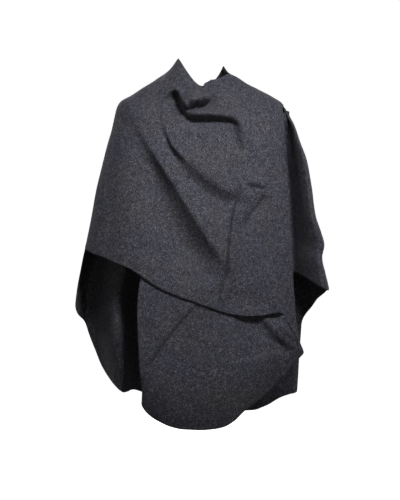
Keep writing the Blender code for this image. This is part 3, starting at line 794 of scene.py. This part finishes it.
def new_piece(name, vertices, faces, material):
    """A smooth piece of that material in the scene."""
    mesh = bpy.data.meshes.new(name)
    mesh.from_pydata(vertices, [], faces)
    mesh.validate()
    mesh.shade_smooth()
    mesh.materials.append(material)
    return placed(name, mesh)


def band_faces(rings, sides, first=0):
    """The faces between rings of points with that many sides, which start at the point first."""
    faces = []
    for ring in range(rings - 1):
        for k in range(sides):
            this, beyond = (first + ring * sides + corner % sides for corner in (k, k + 1))
            faces.append((this, beyond, beyond + sides, this + sides))
    return faces


def cloth(name, grid, material, seams, side):
    """A closed shell round a grid of points. Its hems are rounded, and its seams end flat at y = 0."""
    rows, columns = grid.shape[0], grid.shape[1]
    normals = normals_of(grid)
    for column in seams:
        at_seam = np.abs(grid[:, column, 1]) < SEAM_REACH
        grid[at_seam, column, 1] = side * SEAM_GAP / 2
        normals[at_seam, column, 1] = 0
        normals[:, column] = unit(normals[:, column])
    half = millimetres("wall") / 2
    number = np.arange(rows * columns).reshape(rows, columns)
    # The grid's border, clockwise from the top left.
    rim = np.concatenate([number[0], number[1:, -1], number[-1, -2::-1], number[-2:0:-1, 0]])
    points, facing = grid.reshape(-1, 3), normals.reshape(-1, 3)
    outward = unit(np.cross(facing[rim], points[np.roll(rim, -1)] - points[np.roll(rim, 1)]))
    outward[np.isin(rim % columns, [column % columns for column in seams])] = 0
    turns = [math.radians(degrees) for degrees in RIM_ARC]
    rings = [points[rim] + half * (facing[rim] * math.cos(turn) + outward * math.sin(turn)) for turn in turns]
    vertices = np.concatenate([points + facing * half, points - facing * half, *rings]) * MM
    first = number[:-1, :-1].ravel()
    cells = np.stack([first, first + 1, first + columns + 1, first + columns], axis=1)
    faces = [cells[:, [0, 3, 2, 1]], cells + number.size]
    around = 2 * number.size + np.arange(len(rings) * len(rim)).reshape(len(rings), -1)
    loops = [rim, *around, rim + number.size]
    for upper, lower in zip(loops, loops[1:]):
        faces.append(np.stack([upper, np.roll(upper, -1), np.roll(lower, -1), lower], axis=1))
    return new_piece(name, vertices.tolist(), np.concatenate(faces).tolist(), material)


def add_node(tree, kind, settings=(), inputs=(), links=(), stops=()):
    """Adds a shader node with its settings, its inputs' values, the links into it and its colour stops."""
    node = tree.nodes.new("ShaderNode" + kind)
    for name, value in dict(settings).items():
        setattr(node, name, value)
    for name, value in dict(inputs).items():
        node.inputs[name].default_value = value
    for name, source in dict(links).items():
        tree.links.new(source, node.inputs[name])
    # A ramp starts with two stops. The place of an added one is set with the rest.
    for _ in stops[2:]:
        node.color_ramp.elements.new(0.5)
    for index, (position, colour) in enumerate(stops):
        node.color_ramp.elements[index].position = position
        node.color_ramp.elements[index].color = colour
    return node


def new_material(name, look, relief, layers):
    """A material with a shader of that look, and the layers of its grain: mm across, detail, roughness.

    relief is the strength and depth of that grain's bumps. It also gives the material's nodes, what each
    layer puts out, and the inputs that its colour and its height go into.
    """
    material = bpy.data.materials.new(name)
    material.use_nodes = True
    tree = material.node_tree
    tree.nodes.clear()
    strength, depth = relief
    bump = add_node(tree, "Bump", inputs={"Strength": strength, "Distance": depth * MM})
    shader = add_node(tree, "BsdfPrincipled", inputs=look, links={"Normal": bump.outputs["Normal"]})
    add_node(tree, "OutputMaterial", links={"Surface": shader.outputs["BSDF"]})
    place = add_node(tree, "TexCoord").outputs["Object"]
    grain = {}
    for layer, (across, detail, roughness) in layers.items():
        sizes = {"Scale": 1 / (across * MM), "Detail": detail, "Roughness": roughness}
        grain[layer] = add_node(tree, "TexNoise", inputs=sizes, links={"Vector": place}).outputs["Fac"]
    return material, tree, grain, shader.inputs["Base Color"], bump.inputs["Height"]


def colour_stops(table):
    """A table of values and names of colours, with the colours themselves."""
    return [(position, getattr(bpy.context.scene.poncho_colours, name)) for position, name in table]


def felted_wool(name):
    """Melange wool cloth, fulled and lightly brushed.

    Dark, mid and pale fibres are spun together, so the eye gets a fine salt and pepper grain with soft
    clouds in it, no shine, and a faint bloom of nap where the cloth turns away.
    """
    look = {
        "Roughness": 0.92,
        "Metallic": 0.0,
        "IOR": 1.55,
        "Specular IOR Level": 0.18,
        "Sheen Weight": 0.12,
        "Sheen Roughness": 0.45,
        "Sheen Tint": bpy.context.scene.poncho_colours.bloom,
    }
    # Fibres are 0.02 mm thick. They clump into flecks of about 2 mm, drawn a little coarse to show.
    material, tree, grain, colour, height = new_material(name, look, WOOL_RELIEF, WOOL_GRAIN)
    mixed = []
    for layer, clumps in (("flecks", CLUMPS_IN_COLOUR), ("nap", CLUMPS_IN_NAP)):
        links = {0: grain["clumps"], 2: grain[layer]}
        mixed.append(add_node(tree, "Math", {"operation": "MULTIPLY_ADD"}, {1: clumps}, links).outputs[0])
    fibres = add_node(tree, "ValToRGB", links={"Fac": mixed[0]}, stops=colour_stops(FIBRE_STOPS))
    clouds = add_node(tree, "ValToRGB", links={"Fac": grain["clouds"]}, stops=colour_stops(CLOUD_STOPS))
    links = {6: fibres.outputs["Color"], 7: clouds.outputs["Color"]}
    dyed = add_node(tree, "Mix", {"data_type": "RGBA", "blend_type": "MULTIPLY"}, {0: 1.0}, links)
    tree.links.new(dyed.outputs[2], colour)
    tree.links.new(mixed[1], height)
    return material


def sewing_thread(name):
    """Spun polyester sewing thread: a fine matt line with twisted strands, close to the cloth's grey, with
    shade painted between its strands.
    """
    look = {"Roughness": 0.7, "IOR": 1.5, "Specular IOR Level": 0.3}
    # Its strands are 0.2 mm thick and too fine to show, so their twist is drawn at three times that.
    material, tree, grain, colour, height = new_material(name, look, THREAD_RELIEF, THREAD_GRAIN)
    # The twist also paints shade between the strands, darker where its bumps lie low.
    strands = add_node(tree, "ValToRGB", links={"Fac": grain["twist"]}, stops=colour_stops(THREAD_STOPS))
    tree.links.new(strands.outputs["Color"], colour)
    tree.links.new(grain["twist"], height)
    return material


def white_paper():
    """Seamless studio paper: matt, near white, a hair uneven, so that it lights evenly and stays plain."""
    look = {
        "Base Color": bpy.context.scene.poncho_colours.paper,
        "Roughness": 1.0,
        "Specular IOR Level": 0.0,
        "Emission Color": linear("#FFFFFF"),
        "Emission Strength": PAPER_GLOW,
    }
    material, tree, grain, _, height = new_material("white_studio_paper", look, PAPER_RELIEF, PAPER_GRAIN)
    tree.links.new(grain["tooth"], height)
    return material


def from_edge(grid, hem):
    """The grid turned so that the hem's edge is its first row."""
    across = grid.transpose(1, 0, 2)
    return {"start": across, "end": across[::-1], "bottom": grid[::-1]}[hem]


def hem_line(grid, hem):
    """Points and unit normals of the line of stitching beside a hem."""
    turned, facing = from_edge(grid, hem), from_edge(normals_of(grid), hem)
    away = lengths(turned)
    width = millimetres("hem_width")
    line, normals = (
        np.array([points_at(width, away[:, j], part[:, j]) for j in range(turned.shape[1])])
        for part in (turned, facing)
    )
    return line, unit(normals)


def stitch_rings(line, facing, side, stop):
    """The rings of every stitch along a line on one side of the cloth, up to the share stop of it."""
    run = lengths(line)
    stitch = millimetres("stitch")
    pitch = stitch + millimetres("stitch_gap")
    # The stitches on the inside lie half a step on from those on the face.
    shift = 0 if side > 0 else pitch / 2
    starts = np.arange(STITCH_ENDS + shift, run[-1] * stop - STITCH_ENDS - stitch, pitch)
    share, thick, lift = np.array(STITCH_RINGS).T
    at = starts[:, None] + stitch * share
    point, out = points_at(at, run, line), side * points_at(at, run, facing)
    ahead = unit(np.gradient(point, axis=1))
    beside_it = np.cross(ahead, out)
    middle = point + out * (millimetres("wall") / 2 + lift)[None, :, None]
    turns = 2 * math.pi * np.arange(STITCH_SIDES) / STITCH_SIDES
    radius = (millimetres("thread") / 2 * thick)[None, :, None, None]
    ring = beside_it[:, :, None] * np.cos(turns)[:, None] + out[:, :, None] * np.sin(turns)[:, None]
    return middle[:, :, None] + ring * radius


def stitching(node, grid, hems, stops):
    """The stitches of a cloth's hems, on its face and on its back, as one piece.

    stops gives the share of a hem's line where its stitching ends, for a hem that runs out before its end.
    """
    rings = []
    for hem in hems:
        line, facing = hem_line(grid, hem)
        for side in (1, -1):
            rings.append(stitch_rings(line, facing, side, dict(stops).get(hem, 1.0)))
    rings = np.concatenate(rings)
    count, steps, sides = rings.shape[:3]
    faces = []
    for first in range(0, count * steps * sides, steps * sides):
        faces += band_faces(steps, sides, first)
        faces.append(tuple(first + k for k in reversed(range(sides))))
        faces.append(tuple(first + (steps - 1) * sides + k for k in range(sides)))
    vertices = (rings.reshape(-1, 3) * MM).tolist()
    return new_piece(node + "_stitches", vertices, faces, sewing_thread("spun_polyester_thread_" + node))


def dressed(node, grid, hems, seams=(), side=-1, stops=()):
    """Makes a node's cloth and stitching, hides the node, and says what the cloth is."""
    stitches = stitching(node, grid, hems, stops)
    piece = cloth(node + "_cloth", grid, felted_wool("felted_wool_" + node), seams, side)
    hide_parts(node)
    for part in (piece, stitches):
        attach(part, "root")


class PONCHO_OT_right_front(bpy.types.Operator):
    """The front that crosses the chest from the right side seam to the left shoulder"""

    bl_idname = "poncho.right_front"
    bl_label = "Right front"

    def execute(self, context):
        grid = waved(wrap_grid(*CELLS["right_front"]))
        hems, stops = ("end", "bottom"), {"bottom": WRAP_STITCHES_STOP}
        grid = hemmed(folded(grid, WRAP_FOLDS, WRAP_TUCKS), hems, HEM_END)
        dressed("right_front", grid, hems, seams=(0, -1), stops=stops)
        return {"FINISHED"}


class PONCHO_OT_left_front(bpy.types.Operator):
    """The front that lies under the other one and falls to a round hem"""

    bl_idname = "poncho.left_front"
    bl_label = "Left front"

    def execute(self, context):
        grid = waved(fall_grid(*CELLS["left_front"]), FALL_WAVES)
        hems, under = ("start", "bottom"), ("right_front_cloth",)
        grid = hemmed(folded(grid, WRAP_FOLDS + FALL_FOLDS, WRAP_TUCKS + FALL_TUCKS), hems)
        dressed("left_front", grid, hems)
        return {"FINISHED"}


class PONCHO_OT_left_arm_drape(bpy.types.Operator):
    """The cloth of the left side, folded in behind the wrapped edge"""

    bl_idname = "poncho.left_arm_drape"
    bl_label = "Left arm drape"

    def execute(self, context):
        hems = ("start", "bottom")
        grid = hemmed(waved(drape_grid(*CELLS["left_arm_drape"]), DRAPE_WAVES), hems)
        dressed("left_arm_drape", grid, hems, seams=(-1,))
        return {"FINISHED"}


class PONCHO_OT_back(bpy.types.Operator):
    """The back, from side seam to side seam, with its flutes"""

    bl_idname = "poncho.back"
    bl_label = "Back"

    def execute(self, context):
        hems = ("bottom",)
        grid = hemmed(waved(back_grid(*CELLS["back"])), hems)
        dressed("back", grid, hems, seams=(0, -1), side=1)
        return {"FINISHED"}


def soft_box(name, place, aim, side, spread, watts, colour):
    """A square studio soft box, aimed at a point."""
    light = bpy.data.lights.new(name, "AREA")
    light.shape = "SQUARE"
    light.size = side
    light.spread = math.radians(spread)
    light.energy = watts
    light.color = linear(colour)[:3]
    lamp = placed(name, light)
    lamp.location = place
    lamp.rotation_euler = (Vector(aim) - Vector(place)).to_track_quat("-Z", "Y").to_euler()


def studio_cove():
    """A round floor that curves up into a wall all round, so that every view has the same plain ground."""
    floor = CLOTH_BOTTOM - FLOOR_DROP
    profile = [(0.0, floor), (COVE_FLAT, floor)]
    for step in range(1, COVE_STEPS + 1):
        turn = math.pi / 2 * step / COVE_STEPS
        profile.append((COVE_FLAT + COVE_CURVE * math.sin(turn), floor + COVE_CURVE * (1 - math.cos(turn))))
    profile.append((COVE_FLAT + COVE_CURVE, floor + COVE_HEIGHT))
    turns = [2 * math.pi * k / COVE_SIDES for k in range(COVE_SIDES)]
    vertices = [
        (radius * math.cos(turn), radius * math.sin(turn), z) for radius, z in profile for turn in turns
    ]
    cove = new_piece("studio_cove", vertices, band_faces(len(profile), COVE_SIDES), white_paper())
    # The pale ground shows behind the cloth and lends it no light.
    cove.visible_diffuse = False
    cove.visible_glossy = False
    return cove


def studio_air():
    """Faint light from all round, brightest from the level of the garment."""
    world = bpy.data.worlds.new("studio_air")
    world.use_nodes = True
    tree = world.node_tree
    tree.nodes.clear()
    place = add_node(tree, "TexCoord")
    parts = add_node(tree, "SeparateXYZ", links={"Vector": place.outputs["Generated"]})
    span = {"From Min": -1.0, "From Max": 1.0}
    height = add_node(tree, "MapRange", inputs=span, links={"Value": parts.outputs["Z"]})
    stops = [(k / 2, (light, light, light, 1.0)) for k, light in enumerate(AIR_LIGHT)]
    glow = add_node(tree, "ValToRGB", links={"Fac": height.outputs["Result"]}, stops=stops)
    air = add_node(tree, "Background", links={"Color": glow.outputs["Color"]})
    add_node(tree, "OutputWorld", links={"Surface": air.outputs["Background"]})
    return world


class PONCHO_OT_stage(bpy.types.Operator):
    """The plain floor, the soft light and the camera"""

    bl_idname = "poncho.stage"
    bl_label = "Stage"

    def execute(self, context):
        studio_cove()
        for light in SOFT_BOXES:
            soft_box(*light)
        context.scene.world = studio_air()
        context.scene.view_settings.view_transform = "Standard"
        camera = bpy.data.cameras.new("photo_camera")
        camera.lens = CAMERA_LENS
        camera.sensor_width = CAMERA_SENSOR
        stand = placed("photo_camera", camera)
        stand.location = CAMERA_PLACE
        stand.rotation_euler = (math.pi / 2, 0, 0)
        context.scene.camera = stand
        return {"FINISHED"}


class PONCHO_PT_panel(bpy.types.Panel):
    """Lists the poncho's pieces, sizes and colours"""

    bl_idname = "PONCHO_PT_panel"
    bl_label = "Wool wrap poncho"
    bl_space_type = "VIEW_3D"
    bl_region_type = "UI"
    bl_category = "Poncho"

    def draw(self, context):
        for step in STEPS:
            self.layout.operator(step.bl_idname)
        for group in (context.scene.poncho_sizes, context.scene.poncho_colours):
            for name in type(group).__annotations__:
                self.layout.prop(group, name)


STEPS = (
    PONCHO_OT_right_front, PONCHO_OT_left_front, PONCHO_OT_left_arm_drape, PONCHO_OT_back, PONCHO_OT_stage,
)
CLASSES = (PonchoColours, PonchoSizes, *STEPS, PONCHO_PT_panel)


def register():
    for item in CLASSES:
        bpy.utils.register_class(item)
    bpy.types.Scene.poncho_colours = bpy.props.PointerProperty(type=PonchoColours)
    bpy.types.Scene.poncho_sizes = bpy.props.PointerProperty(type=PonchoSizes)


def unregister():
    del bpy.types.Scene.poncho_sizes
    del bpy.types.Scene.poncho_colours
    for item in reversed(CLASSES):
        bpy.utils.unregister_class(item)


def main():
    register()
    bpy.ops.poncho.right_front()
    bpy.ops.poncho.left_front()
    bpy.ops.poncho.left_arm_drape()
    bpy.ops.poncho.back()
    bpy.ops.poncho.stage()


if __name__ == "__main__":
    main()
